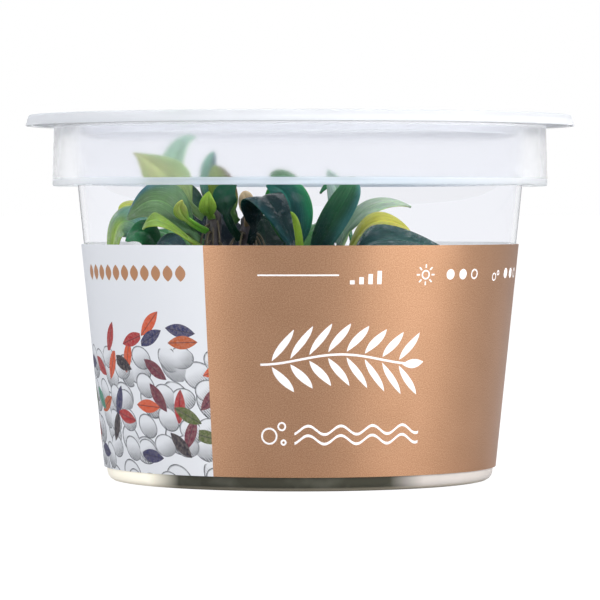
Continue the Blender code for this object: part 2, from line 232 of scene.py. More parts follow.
def plastic(name):
    look = plasticLooks[name]
    tree = Tree(name)
    ripple = tree.grain(tree.place(), moulded["ripple"])
    tree.set(
        Base_Color=look["colour"], Roughness=look["roughness"], IOR=look["ior"],
        Transmission_Weight=look["clear"], Normal=tree.bump(ripple, look["bump"], moulded["depth"]),
    )
    if "milky" in look:
        x, y, z = tree.inMillimetres()
        milky = tree.spread(tree.far(x, y) if look["along"] == "radius" else z, *look["milkyFrom"])
        tree.set(
            Base_Color=tree.mix(milky, look["colour"], look["milkyColour"]),
            Transmission_Weight=tree.spread(milky, 0, 1, look["clear"], look["milky"]),
        )
    # lamps and soft light pass straight through, so that the plants inside are lit
    mixed = tree.nodes.new("ShaderNodeMixShader")
    tree.put(mixed.inputs[0], tree.rays("Shadow", "Diffuse"))
    tree.put(mixed.inputs[1], tree.shader.outputs[0])
    tree.put(mixed.inputs[2], tree.add("BsdfTransparent", Color=(look["through"],) * 3))
    tree.put(tree.nodes["Material Output"].inputs["Surface"], mixed.outputs[0])
    return tree.material


# Turned pieces: each corner is (radius, height, rounding) in millimetres
def turn(corners, steps, sweep=fullTurn, start=0):
    bm = bmesh.new()
    verts = [bm.verts.new((radius * mm, 0, z * mm)) for radius, z, rounding in corners]
    pairs = list(zip(verts, verts[1:]))
    if corners[0][0] > 0:
        pairs.append((verts[-1], verts[0]))
    for pair in pairs:
        bm.edges.new(pair)
    for vert, corner in zip(verts, corners):
        if corner[2]:
            bmesh.ops.bevel(
                bm, geom=[vert], offset=corner[2] * mm, offset_type="OFFSET", segments=cornerSteps,
                profile=0.5, affect="VERTICES", material=-1,
            )
    bmesh.ops.rotate(bm, cent=(0, 0, 0), matrix=Matrix.Rotation(start, 3, "Z"), verts=bm.verts)
    bmesh.ops.spin(
        bm, geom=bm.verts[:] + bm.edges[:], axis=(0, 0, 1), cent=(0, 0, 0),
        angle=sweep, steps=steps, use_merge=sweep >= fullTurn,
    )
    mergeDoubles(bm, 0.002)
    facesOut(bm)
    return bm


# Cup: tapered wall, foot ring, raised base, flange and the collar that hangs from it
cup = dict(
    wall=0.9, radius=35.5, radiusAt=1.5, taper=0.1028, steps=192,
    footInner=31, footSlope=0.8, footTop=2.5, corner=1.5, lift=1,
    flangeLow=65.1, flangeTop=65.9, flangeRadius=49.3,
    skirtTop=45.25, skirtLow=45.55, skirtEnd=54, bead=1.2, beadMiddle=0.66, beadDepth=0.4, beadEnd=1.3,
    outside=0.3, footSkin=1.5,  # how far off the wall the collar's look begins, and the foot's
)
# The collar's bead scatters light in its middle and is clearer at the sides. Its colour carries painted
# light: a faint painted dark line of shade runs along it, and the colour turns paler towards the sides by
# position
beadLook = dict(
    sides=(18, 40), clear=(0.45, 0.85), line=0.95, colour=(0.72, 0.79, 0.85),
    layers=(("line", 0.08, 0.2, 0.3, 0, (0.6, 0.66, 0.73)), ("side", 0, 1, 0, 1, (0.93, 0.95, 0.97))),
)
# The thick foot is opaque, with the gel behind it painted on as olive grey in the middle. Painted light,
# placed by x, makes it paler towards the sides, and a painted highlight runs along it by the table
footLook = dict(
    # left and glow place and set the strength of a painted glow on the left side
    colour=(0.055, 0.055, 0.04), cloud=220, left=(-21.5, -27), glow=0.27, paintedGlowColour=(1, 0.95, 0.85),
    # painted light: the x layers pale the left and right sides, the z layer is a painted highlight near the
    # table; cloud is the gel's own uneven tone
    layers=(
        ("x", -21.5, -27, 0, 1, (1, 0.95, 0.8)),
        ("x", 16, 22, 0, 1, (0.62, 0.58, 0.55)),
        ("cloud", 0.4, 0.7, 0, 0.12, (0.4, 0.4, 0.34)),
        ("z", 0.75, 0.3, 0, 0.6, (0.62, 0.55, 0.42)),
    ),
)


def wallOutside(z):
    return cup["radius"] + cup["taper"] * (z - cup["radiusAt"])


def wallInside(z):
    return wallOutside(z) - cup["wall"]


def beadMaterial():
    tree = Tree("beadPlastic")
    x, y, z = tree.inMillimetres()
    # painted light: side makes the colour paler, and the bead clearer, towards both sides; line is a painted
    # dark line of shade along the bead
    side = tree.spread(tree.absolute(x), *beadLook["sides"])
    line = tree.absolute(tree.minus(z, cup["skirtEnd"] + beadLook["line"]))
    return tree.set(
        Base_Color=tree.layers(beadLook["colour"], dict(side=side, line=line), beadLook["layers"]),
        Roughness=0.35, IOR=1.12, Transmission_Weight=tree.spread(side, 0, 1, *beadLook["clear"]),
    )


def footMaterial():
    tree = Tree("footPlastic")
    x, y, z = tree.inMillimetres()
    cloud = tree.grain(tree.place(), footLook["cloud"], 3)
    # its left side glows faintly with a painted glow: emission that stands in for the light the clear foot
    # leads round from behind
    glow = tree.mix(tree.spread(x, *footLook["left"]), (0, 0, 0), footLook["paintedGlowColour"])
    return tree.set(
        Base_Color=tree.layers(footLook["colour"], dict(x=x, z=z, cloud=cloud), footLook["layers"]),
        Roughness=0.25, IOR=1.3, Emission_Color=glow, Emission_Strength=footLook["glow"],
    )


def makeCup():
    lift, wall, low, top, end = (cup[key] for key in ("lift", "wall", "flangeLow", "flangeTop", "skirtEnd"))
    floor = lift + wall
    beadInside = cup["skirtLow"] - wall
    beadEnd = end + cup["beadEnd"]
    corners = [
        (0, lift, 0),
        (cup["footInner"] - cup["footSlope"], lift, 0.4),
        (cup["footInner"], 0, 0.25),
        (wallOutside(0), 0, cup["corner"]),
        (wallOutside(cup["footTop"]), cup["footTop"], 0),
        (wallOutside(low), low, 0.3),
        (cup["skirtTop"] - wall, low, 0.3),
        (beadInside, end + cup["bead"], 0.25),
        (beadInside - cup["beadDepth"], end + cup["beadMiddle"], 0.25),
        (beadInside, end, 0.2),
        (cup["skirtLow"], end, 0.35),
        (cup["skirtLow"], beadEnd, 0),
        (cup["skirtTop"], low, 0.25),
        (cup["flangeRadius"], low, 0.3),
        (cup["flangeRadius"], top, 0.3),
        (wallInside(top), top, 0.5),
        (wallInside(floor), floor, 1.6),
        (0, floor, 0),
    ]
    bm = turn(corners, cup["steps"])
    # wall 0, collar 1, bead 2, foot 3
    for face in bm.faces:
        middle = face.calc_center_median() / mm
        reach = math.hypot(middle.x, middle.y)
        if reach > wallOutside(middle.z) + cup["outside"]:
            face.material_index = 2 if middle.z < beadEnd else 1
        if middle.z < cup["footTop"] and reach > cup["footInner"] - cup["footSkin"]:
            face.material_index = 3
    skins = [plastic("wallPlastic"), plastic("collarPlastic"), beadMaterial(), footMaterial()]
    makePiece("cupShell", bm, skins, ["cup"], 50)


# Lid: flat top with a stacking recess, a rim over the flange and a ring that plugs the mouth
lid = dict(
    top=67, wall=0.8, rimLow=65, rimTop=49.9, rimBottom=50.5, rimWall=0.6, rimGap=0.3,
    recess=35, recessDepth=0.7, recessSlope=0.4, underTop=0.3, underLow=0.1,
    sealTop=40.75, sealLow=40.3, sealEnd=63.6, sealWall=0.7, steps=192,
)


def makeLid():
    top, wall, sealWall = lid["top"], lid["wall"], lid["sealWall"]
    under, down = top - wall, lid["recessDepth"]
    recess, slope = lid["recess"], lid["recessSlope"]
    corners = [
        (0, top - down, 0),
        (recess - slope, top - down, 0.3),
        (recess + slope, top, 0.3),
        (lid["rimTop"], top, 0.35),
        (lid["rimBottom"], lid["rimLow"], 0.15),
        (lid["rimBottom"] - lid["rimWall"], lid["rimLow"], 0.15),
        (cup["flangeRadius"] + lid["rimGap"], under, 0.25),
        (lid["sealTop"], under, 0.15),
        (lid["sealLow"], lid["sealEnd"], 0.25),
        (lid["sealLow"] - sealWall, lid["sealEnd"], 0.2),
        (lid["sealTop"] - sealWall, under, 0.15),
        (recess + slope + lid["underTop"], under, 0.2),
        (recess - lid["underLow"], under - down, 0.2),
        (0, under - down, 0),
    ]
    bm = turn(corners, lid["steps"])
    makePiece("lidShell", bm, [plastic("lidPlastic")], ["lid"], 50)


makeCup()
makeLid()
print("cup and lid ready")


# Label: a wrap of satin bronze film with a pale panel. Its print is placed in millimetres along the wrap
label = dict(
    low=2.55, top=43.4, gap=0.3, thickness=0.2, seam=math.radians(0.4), steps=240,
    roll=38.2,  # radius at which a millimetre of the print is a millimetre of the wrap
    panelStart=-65, panelEnd=-16.7, signsEnd=58, signsLow=33.5,
)
labelInks = dict(
    bronze=linear("#c5926f"), bronzeDeep=linear("#b5835f"), bronzePale=linear("#ecc6a4"),
    panel=linear("#e6e8ec"), white=linear("#f8f6f6"), pencil=linear("#262b34"),
    backing=linear("#fafafa"), backingGrey=(0.7, 0.7, 0.7),
)


def cutThrough(bm, point, across):
    whole = bm.verts[:] + bm.edges[:] + bm.faces[:]
    bmesh.ops.bisect_plane(bm, geom=whole, plane_co=point, plane_no=across)


def labelPart(along, height):
    # plain bronze 0, signs 1, sprig 2, panel 3
    if label["panelStart"] < along < label["panelEnd"]:
        return 3
    if along < label["panelStart"] or along > label["signsEnd"]:
        return 0
    return 1 if height > label["signsLow"] else 2


def makeLabel():
    inner = [(wallOutside(z) + label["gap"], z, 0) for z in (label["low"], label["top"])]
    outer = [(radius + label["thickness"], z, 0) for radius, z, rounding in reversed(inner)]
    seamStart = math.pi / 2 + label["seam"] / 2
    bm = turn(inner + outer, label["steps"], fullTurn - label["seam"], seamStart)
    bmesh.ops.holes_fill(bm, edges=[edge for edge in bm.edges if edge.is_boundary], sides=8)
    for border in ("panelStart", "panelEnd", "signsEnd"):
        angle = label[border] / label["roll"]
        cutThrough(bm, (0, 0, 0), (math.cos(angle), math.sin(angle), 0))
    cutThrough(bm, (0, 0, label["signsLow"] * mm), (0, 0, 1))
    facesOut(bm)
    wrap = bm.loops.layers.uv.new("wrap")
    for face in bm.faces:
        middle = face.calc_center_median()
        home = math.atan2(middle.x, -middle.y)
        outward = face.normal.x * middle.x + face.normal.y * middle.y
        face.material_index = labelPart(home * label["roll"], middle.z / mm) if outward > 0 else 4
        for loop in face.loops:
            x, y, z = loop.vert.co
            turned = math.atan2(x, -y)
            turned += fullTurn * round((home - turned) / fullTurn)
            loop[wrap].uv = (turned * label["roll"], z / mm)
    skins = [bronze("bronzeField"), bronze("bronzeSigns", signRow), bronze("bronzeSprig", sprigAndWater)]
    makePiece("wrapLabel", bm, skins + [panelMaterial(), backingMaterial()], ["label"], 40)


class Print(Tree):
    # a printed material with its marks, each a mask from 0 to 1 at a place in millimetres
    def __init__(self, name):
        super().__init__(name)
        self.where = self.add("UVMap", uv_map="wrap")
        self.x, self.y = self.parts(self.where)[:2]

    def inside(self, value, low, high):
        return self.times(self.above(value, low), self.below(value, high))

    def repeat(self, value, start, step):
        # distance from the nearest of the places start, start + step, and so on
        shifted = self.math("ADD", value, 0.5 * step - start)
        return self.minus(self.math("FLOORED_MODULO", shifted, step), 0.5 * step)

    def wave(self, rate, swell):
        return self.times(self.math("SINE", self.times(self.x, rate)), swell)

    def ring(self, x, y, radius, line):
        return self.inside(self.far(x, y), radius - line, radius)

    def bar(self, value, halfWide):
        return self.below(self.absolute(value), halfWide)

    def leaflet(self, x, y, halfLong, halfWide):
        along = self.divide(x, halfLong)
        room = self.minus(1, self.times(along, along))
        return self.below(self.absolute(self.divide(y, halfWide)), room)

    def layered(self, low, high, mask):
        # the upper of two layers where its mask is 1
        return self.math("MULTIPLY_ADD", self.minus(high, low), mask, low)

    def bubbles(self, y, form):
        rings, line = form["bubbles"], form["bubbleLine"]
        return [self.ring(self.minus(self.x, x), self.minus(y, up), size, line) for x, up, size in rings]


# White signs in the top row: a rule, rising steps, a sun, bubbles and two dot scales
signs = dict(
    row=38.2, line=0.28, rule=-0.3, ruleHalf=6.9,
    steps=8.9, stepApart=1.6, stepCount=4, stepHalf=0.4, stepSide=0.6,
    stepFoot=-1.6, stepTop=-0.9, stepRise=0.55,
    sun=22.6, sunRadius=0.85, rays=8, rayHalf=0.14, rayFrom=1.2, rayTo=1.85,
    dots=28.1, dot=0.93, dotStep=3.1, secondScale=18.1, secondFrom=39.05,
    bubbles=((41, -0.6, 0.75), (42.5, 0.1, 0.5)), bubbleLine=0.24,
)


def signRow(ink):
    line, dot, step = signs["line"], signs["dot"], signs["dotStep"]
    y = ink.minus(ink.y, signs["row"])
    # two full dots and a hollow one. The second scale is the first one again, further along
    x = ink.minus(ink.x, ink.times(ink.above(ink.x, signs["secondFrom"]), signs["secondScale"]))
    near = ink.repeat(x, signs["dots"], step)
    lastFull = signs["dots"] + 1.5 * step
    full = ink.times(ink.below(ink.far(near, y), dot), ink.inside(x, lastFull - 2 * step, lastFull))
    hollow = ink.times(ink.ring(near, y, dot, line), ink.inside(x, lastFull, lastFull + step))
    rule = ink.times(ink.bar(ink.minus(ink.x, signs["rule"]), signs["ruleHalf"]), ink.bar(y, 0.5 * line))
    # steps that rise to the right
    low, apart, side = signs["steps"], signs["stepApart"], signs["stepSide"]
    count = ink.math("ROUND", ink.divide(ink.minus(ink.x, low), apart))
    tall = ink.math("MULTIPLY_ADD", count, signs["stepRise"], signs["stepTop"])
    steps = ink.allOf(
        ink.bar(ink.repeat(ink.x, low, apart), signs["stepHalf"]),
        ink.inside(ink.x, low - side, low + apart * (signs["stepCount"] - side)),
        ink.below(y, tall), ink.above(y, signs["stepFoot"]),
    )
    # a sun: a ring and its rays
    sunX = ink.minus(ink.x, signs["sun"])
    away = ink.far(sunX, y)
    ray = ink.repeat(ink.math("ARCTAN2", y, sunX), 0, fullTurn / signs["rays"])
    rays = ink.below(ink.times(ink.absolute(ray), away), signs["rayHalf"])
    rays = ink.times(rays, ink.inside(away, signs["rayFrom"], signs["rayTo"]))
    sun = ink.ring(sunX, y, signs["sunRadius"], line)
    return ink.anyOf(full, hollow, rule, steps, rays, sun, *ink.bubbles(y, signs))


# A plain sprig of paired leaflets, and under it water: two waves and three bubbles
sprig = dict(
    start=-7, step=3.3, count=8, height=23.4, sway=0.9, swayRate=0.22, stalk=0.2,
    lean=52, leaflet=2.5, leafletWide=0.85, leafletGap=0.5,
    crown=2.2, crownWide=0.8, crownOn=1.6, crownTilt=6,
)
water = dict(
    left=-1, right=23, height=10.1, apart=1.7, swell=0.75, rate=1.05, line=0.24,
    bubbles=((-5.6, 9.9, 1.5), (-3.3, 11.6, 0.8), (-3, 8.8, 0.55)), bubbleLine=0.32,
)


def sprigAndWater(ink):
    start, step, long = sprig["start"], sprig["step"], sprig["leaflet"]
    end = start + step * sprig["count"]
    y = ink.minus(ink.minus(ink.y, sprig["height"]), ink.wave(sprig["swayRate"], sprig["sway"]))
    stalk = ink.times(ink.bar(y, sprig["stalk"]), ink.inside(ink.x, start, end))
    # leaflets lean forwards on both sides of the stalk
    back = ink.minus(ink.x, ink.times(ink.absolute(y), 1 / math.tan(math.radians(sprig["lean"]))))
    near = ink.repeat(back, start + 0.5 * step, step)
    reach = ink.minus(ink.absolute(y), long + sprig["leafletGap"])
    blades = ink.times(ink.leaflet(reach, near, long, sprig["leafletWide"]), ink.inside(back, start, end))
    # the last leaflet tops the stalk, turned a little
    x, tilt = ink.minus(ink.x, end + sprig["crownOn"]), math.radians(sprig["crownTilt"])
    topX = ink.math("MULTIPLY_ADD", x, math.cos(tilt), ink.times(y, math.sin(tilt)))
    topY = ink.math("MULTIPLY_ADD", y, math.cos(tilt), ink.times(x, -math.sin(tilt)))
    crown = ink.leaflet(topX, topY, sprig["crown"], sprig["crownWide"])
    low = ink.minus(ink.minus(ink.y, water["height"]), ink.wave(water["rate"], water["swell"]))
    waves = ink.bar(ink.minus(ink.absolute(low), 0.5 * water["apart"]), water["line"])
    waves = ink.times(waves, ink.inside(ink.x, water["left"], water["right"]))
    return ink.anyOf(stalk, blades, crown, waves, *ink.bubbles(ink.y, water))


# The bronze film: fine pale grain on a metal that shifts slowly in tone
film = dict(grain=4.8, grainShare=0.42, streak=0.12, metal=0.85, roughness=0.32, inkRoughness=0.5)


def bronze(name, drawMarks=None):
    ink = Print(name)
    grain = ink.grain(ink.where, film["grain"], 3, 0.8)
    streak = ink.grain(ink.where, film["streak"], 1)
    pale = ink.spread(grain, 0.42, 0.58, 0, film["grainShare"])
    colour = ink.mix(streak, labelInks["bronze"], labelInks["bronzeDeep"])
    colour = ink.mix(pale, colour, labelInks["bronzePale"])
    ink.set(
        Base_Color=colour, Metallic=film["metal"], Roughness=film["roughness"], IOR=1.45,
        Normal=ink.bump(grain, 0.12, 0.03),
    )
    if drawMarks:
        marks = drawMarks(ink)
        ink.set(
            Base_Color=ink.mix(marks, colour, labelInks["white"]),
            Metallic=ink.spread(marks, 0, 1, film["metal"], 0),
            Roughness=ink.spread(marks, 0, 1, film["roughness"], film["inkRoughness"]),
        )
    return ink.material


# The pale panel: a pencil drawing of river pebbles, and coloured leaves that have fallen on them.
# A layer of pebbles is (cell, shift, half long, half high), one of leaves (cell, shift, share left empty)
panel = dict(
    pebbles=((6.6, 0, 3.3, 2.5), (5.4, 17, 2.7, 2)), outline=0.16, bedTop=24, loose=0.6,
    falls=((6.4, 5, 0.42), (7.1, 31, 0.4)), leaf=3.2, leafWide=1.2, low=5.5, high=32,
    vein=0.09, veinShare=0.6, veinColour=(0.03, 0.025, 0.04),
    rubbed=1.7, rubbedShare=0.3, rubbedColour=(0.6, 0.5, 0.42), hatch=1.1, grain=6,
    heading=38.4, middle=-34.6, lozenges=11, lozenge=2.65, lozengeHigh=1.45, lozengeWide=1.05,
)
panelColours = ["#b8521c", "#a81d26", "#252c5c", "#4c5c26", "#6a1f38", "#cf4f24", "#1d1828", "#2f8a72"]


def cellOf(ink, cell, shift, turning):
    # a loose grid of cells: the place within the cell, turned by the cell, its own numbers and its height
    place = ink.add("Mapping", Vector=ink.where, Location=(shift, shift, 0))
    cells = ink.add(
        "TexVoronoi", "Distance", voronoi_dimensions="2D", Vector=place, Scale=1 / cell,
        Randomness=panel["loose"],
    ).node.outputs
    offset = ink.add("VectorMath", operation="SUBTRACT").node
    ink.put(offset.inputs[0], place)
    ink.put(offset.inputs[1], cells["Position"])
    drawn = ink.parts(cells["Color"])
    spun = ink.add(
        "VectorRotate", rotation_type="Z_AXIS", Vector=offset.outputs[0], Angle=ink.times(drawn[0], turning),
    )
    return ink.parts(spun), drawn, ink.minus(ink.parts(cells["Position"])[1], shift)


def pebbles(ink, hatch, cell, shift, halfLong, halfHigh):
    # outline and hatched shadow of one layer of stones, and where its stones are
    spot, drawn, height = cellOf(ink, cell, shift, 1)
    along, up = ink.divide(spot[0], halfLong), ink.divide(spot[1], halfHigh)
    away = ink.far(along, up)
    stone = ink.times(ink.below(away, 1), ink.below(height, panel["bedTop"]))
    line = ink.spread(away, 1 - panel["outline"], 0.97)
    shade = ink.times(ink.spread(ink.minus(along, up), -0.5, 1.1, 0.06, 0.95), hatch)
    return ink.most(line, shade), stone


def fallenLeaves(ink, cell, shift, empty):
    # where the leaves of one layer lie, a number for the colour of each, and their veins
    spot, drawn, height = cellOf(ink, cell, shift, fullTurn)
    mask = ink.allOf(
        ink.leaflet(spot[0], spot[1], panel["leaf"], panel["leafWide"]),
        ink.above(drawn[2], empty), ink.inside(height, panel["low"], panel["high"]),
    )
    return mask, drawn[1], ink.bar(spot[1], panel["vein"])


def panelMaterial():
    ink = Print("panelPrint")
    rubbed = ink.grain(ink.where, panel["rubbed"], 4, 0.75)
    waves = ink.add(
        "TexWave", "Fac", bands_direction="DIAGONAL", Vector=ink.where, Scale=panel["hatch"], Distortion=1.2,
    )
    hatch = ink.spread(waves, 0.2, 0.7, 0.35, 1)
    pencil = 0
    for layer in panel["pebbles"]:
        pencil = ink.layered(pencil, *pebbles(ink, hatch, *layer))
    pencil = ink.times(pencil, ink.spread(rubbed, 0.3, 0.55, 0.5, 1))
    colour = ink.mix(pencil, labelInks["panel"], labelInks["pencil"])
    mask, drawn, vein = 0, 0, 0
    for fall in panel["falls"]:
        newMask, newDrawn, newVein = fallenLeaves(ink, *fall)
        drawn, vein = ink.layered(drawn, newDrawn, newMask), ink.layered(vein, newVein, newMask)
        mask = ink.most(mask, newMask)
    paints = ink.nodes.new("ShaderNodeValToRGB")
    paints.color_ramp.interpolation = "CONSTANT"
    stops = paints.color_ramp.elements
    while len(stops) < len(panelColours):
        stops.new(0.5)
    for k, paint in enumerate(panelColours):
        stops[k].position = k / len(panelColours)
        stops[k].color = (*linear(paint), 1)
    ink.put(paints.inputs[0], drawn)
    worn = ink.spread(rubbed, 0.4, 0.7, 0, panel["rubbedShare"])
    wash = ink.mix(worn, paints.outputs[0], panel["rubbedColour"])
    wash = ink.mix(ink.times(vein, panel["veinShare"]), wash, panel["veinColour"])
    colour = ink.mix(mask, colour, wash)
    # a row of upright lozenges as the heading
    along = ink.minus(ink.x, panel["middle"])
    near = ink.repeat(along, 0, panel["lozenge"])
    high = ink.minus(ink.y, panel["heading"])
    heading = ink.leaflet(high, near, panel["lozengeHigh"], panel["lozengeWide"])
    heading = ink.times(heading, ink.bar(along, 0.5 * panel["lozenges"] * panel["lozenge"]))
    return ink.set(
        Base_Color=ink.mix(heading, colour, labelInks["bronzeDeep"]), Roughness=0.5, IOR=1.45,
        Normal=ink.bump(ink.grain(ink.where, panel["grain"]), 0.08, 0.03),
    )


def backingMaterial():
    tree = Tree("labelBacking")
    grain = tree.grain(tree.place(), 900, 3)
    grey = tree.spread(grain, 0.3, 0.7, 0, 0.3)
    colour = tree.mix(grey, labelInks["backing"], labelInks["backingGrey"])
    # the white film glows faintly: a painted glow, emission that stands in for light from behind shining
    # through it
    return tree.set(Base_Color=colour, Roughness=0.6, Emission_Color=colour, Emission_Strength=0.25)


makeLabel()
print("label ready")


# Gel: cloudy agar with a low meniscus and a slightly uneven top
gel = dict(
    low=2.1, top=12, gap=0.12, corner=2, meniscus=0.6, climb=((0.5, 0.15), (1.6, 0)), steps=128,
    cloud=90, colour=linear("#6f7259"), cloudColour=linear("#8a8a70"), ripple=260,
)


def gelMaterial():
    tree = Tree("cultureGel")
    cloud = tree.grain(tree.place(), gel["cloud"], 4, 0.6)
    ripple = tree.grain(tree.place(), gel["ripple"])
    return tree.set(
        Base_Color=tree.mix(tree.spread(cloud, 0.35, 0.65), gel["colour"], gel["cloudColour"]),
        Roughness=0.22, IOR=1.34, Transmission_Weight=0.35, Normal=tree.bump(ripple, 0.2, 0.2),
    )


def makeGel():
    low, top, gap = gel["low"], gel["top"], gel["gap"]
    edge = top + gel["meniscus"]
    reach = wallInside(edge) - gap
    corners = [
        (0, low, 0),
        (wallInside(low) - gap, low, gel["corner"]),
        (reach, edge, 0.12),
        *((reach - off, top + up, 0.3) for off, up in gel["climb"]),
        (0.5 * wallInside(top), top, 0),
        (0, top, 0),
    ]
    makePiece("cultureGel", turn(corners, gel["steps"]), [gelMaterial()], ["gel"], 60)


makeGel()
print("gel ready")


# Stems: foot, middle and top in millimetres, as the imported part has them
stems = {
    "left": ((-22.5, -9.5, 13.2), (-25, -11, 26), (-22.5, -11, 43.5)),
    "centreLeft": ((-13, -14, 13.2), (-15.5, -16, 30), (-15.5, -13.5, 49)),
    "centre": ((-6, -9, 13.2), (-9.5, -12, 30), (-9.3, -11.5, 48)),
    "middle": ((1, -12, 13.2), (2.5, -8, 26), (0.5, -8.5, 40)),
    "right": ((9, -5, 13.2), (8, -7, 26), (5, -7.5, 43.5)),
    "backLeft": ((-17, 12, 13.2), (-20, 13, 28), (-17, 11, 43)),
    "back": ((-1, 17, 13.2), (-3, 15, 28), (-1, 13, 42)),
    "backRight": ((15, 13, 13.2), (14.5, 14, 24), (13, 11, 36)),
}
stem = dict(
    sides=16, rings=60, foot=1.9, top=1.35, footRound=0.03, crown=0.035, bud=1.6,
    nodes=7, nodeSwell=0.06, lumps=0.07,
    colours=(linear("#2a2230"), linear("#38342e")), broad=110, mottle=420, mottleColour=linear("#7a6a52"),
)


def onStem(name, share):
    foot, middle, top = (Vector(point) for point in stems[name])
    control = 2 * middle - 0.5 * (foot + top)
    return (1 - share) ** 2 * foot + 2 * share * (1 - share) * control + share**2 * top


def stemRadius(share):
    return stem["foot"] + (stem["top"] - stem["foot"]) * share


def stemMaterial():
    tree = Tree("stemSkin")
    mottle = tree.grain(tree.place(), stem["mottle"], 5, 0.65)
    broad = tree.grain(tree.place(), stem["broad"])
    colour = tree.mix(tree.spread(broad, 0.35, 0.65), *stem["colours"])
    colour = tree.mix(tree.spread(mottle, 0.5, 0.8, 0, 0.4), colour, stem["mottleColour"])
    return tree.set(Base_Color=colour, Roughness=0.42, Normal=tree.bump(mottle, 0.5, 0.15))


def rollTube(bm, sides, rings, place):
    # a grid rolled into a tube: turned goes round it, share runs from its foot to its tip
    for vert in bmesh.ops.create_grid(bm, x_segments=sides, y_segments=rings, size=0.5)["verts"]:
        vert.co = place((vert.co.x + 0.5) * fullTurn, vert.co.y + 0.5) * mm


def rounded(share):
    # falls from 1 to 0 as a quarter circle does
    return math.sqrt(max(0, 1 - share**2))


def makeStem(name, number, material):
    bm = bmesh.new()

    def place(turned, share):
        centre = onStem(name, share)
        flow = (onStem(name, share + 0.01) - onStem(name, share - 0.01)).normalized()
        side = flow.cross(Vector((0, 1, 0))).normalized()
        ringed = stem["nodeSwell"] * math.cos(stem["nodes"] * fullTurn * share) ** 6
        spot = Vector((3 * math.cos(turned), 3 * math.sin(turned), 40 * share + number))
        radius = stemRadius(share) * (1 + ringed + stem["lumps"] * noise.noise(spot))
        crown = max(0, (share - 1 + stem["crown"]) / stem["crown"])
        radius *= rounded(1 - min(1, share / stem["footRound"])) * rounded(crown)
        across = math.cos(turned) * side + math.sin(turned) * flow.cross(side)
        return centre + flow * stem["bud"] * crown + radius * across

    rollTube(bm, stem["sides"], stem["rings"], place)
    mergeDoubles(bm)
    facesOut(bm)
    makePiece(f"rhizome{number}", bm, [material], [f"rhizome_{number}"])


# Fine roots in one mesh: from each stem's foot into the gel, and short drooping ones on the upper stems
roots = dict(
    each=9, sides=6, rings=14, radius=0.28, slimmer=0.6, seed=7,
    startAt=(0.04, 0.22), reach=(2.5, 6), depth=(5, 8.5), wobble=(-1, 1), stubOut=1.2,
    mottle=700, wet=(linear("#8d8468"), linear("#c9c2a4")), dry=(linear("#2c2a22"), linear("#66593e")),
    dryFrom=(16, 28),
)
airRoots = dict(
    stems=("left", "centreLeft", "centre", "middle"), each=8, radius=0.24, slimmer=0.35, seed=5,
    heading=(-150, -30), startAt=(0.82, 0.99), reach=(1.5, 4), drop=(3, 8), rise=(0, 0.8), stubOut=1,
)


def rootMaterial():
    tree = Tree("rootSkin")
    mottle = tree.grain(tree.place(), roots["mottle"], 3)
    # brown where they hang in the air
    dry = tree.spread(tree.inMillimetres()[2], *roots["dryFrom"])
    colour = tree.mix(dry, tree.mix(mottle, *roots["wet"]), tree.mix(mottle, *roots["dry"]))
    return tree.set(Base_Color=colour, Roughness=0.45, Normal=tree.bump(mottle, 0.3, 0.1))


def addRoot(bm, form, side, other, centre):
    # a thin tube round the line that centre gives, slimmer towards its tip
    def place(turned, share):
        radius = form["radius"] * (1 - form["slimmer"] * share) * rounded(share**4)
        return centre(share) + radius * (math.cos(turned) * side + math.sin(turned) * other)

    rollTube(bm, roots["sides"], roots["rings"], place)


def addGelRoots(bm):
    chance = random.Random(roots["seed"])
    for name in stems:
        for k in range(roots["each"]):
            heading = fullTurn * (k + chance.random()) / roots["each"]
            reach, depth = chance.uniform(*roots["reach"]), chance.uniform(*roots["depth"])
            start = onStem(name, chance.uniform(*roots["startAt"]))
            wobble = chance.uniform(*roots["wobble"])
            out = Vector((math.cos(heading), math.sin(heading), 0))
            side = Vector((-out.y, out.x, 0))
            down = Vector((0, 0, gel["top"] - start.z - depth))

            def centre(share):
                bend = out * (roots["stubOut"] + reach * share**0.7) + side * wobble * math.sin(4 * share)
                return start + bend + down * share**1.4

            addRoot(bm, roots, side, out, centre)


def addAirRoots(bm):
    chance = random.Random(airRoots["seed"])
    for name in airRoots["stems"]:
        for k in range(airRoots["each"]):
            heading = math.radians(chance.uniform(*airRoots["heading"]))
            start = onStem(name, chance.uniform(*airRoots["startAt"]))
            reach, drop, rise = (chance.uniform(*airRoots[key]) for key in ("reach", "drop", "rise"))
            out = Vector((math.cos(heading), math.sin(heading), 0))
            side = Vector((-out.y, out.x, 0))
            upwards = Vector((out.x, out.y, 1)).normalized()

            def centre(share):
                lift = rise * math.sin(math.pi * share) - drop * share * share
                return start + out * (airRoots["stubOut"] + reach * share**0.8) + Vector((0, 0, lift))

            addRoot(bm, airRoots, side, upwards, centre)


def makeRoots():
    bm = bmesh.new()
    addGelRoots(bm)
    addAirRoots(bm)
    mergeDoubles(bm)
    facesOut(bm)
    makePiece("fineRoots", bm, [rootMaterial()])


stemSkin = stemMaterial()
for number, name in enumerate(stems, 1):
    makeStem(name, number, stemSkin)
makeRoots()
print("stems and roots ready")


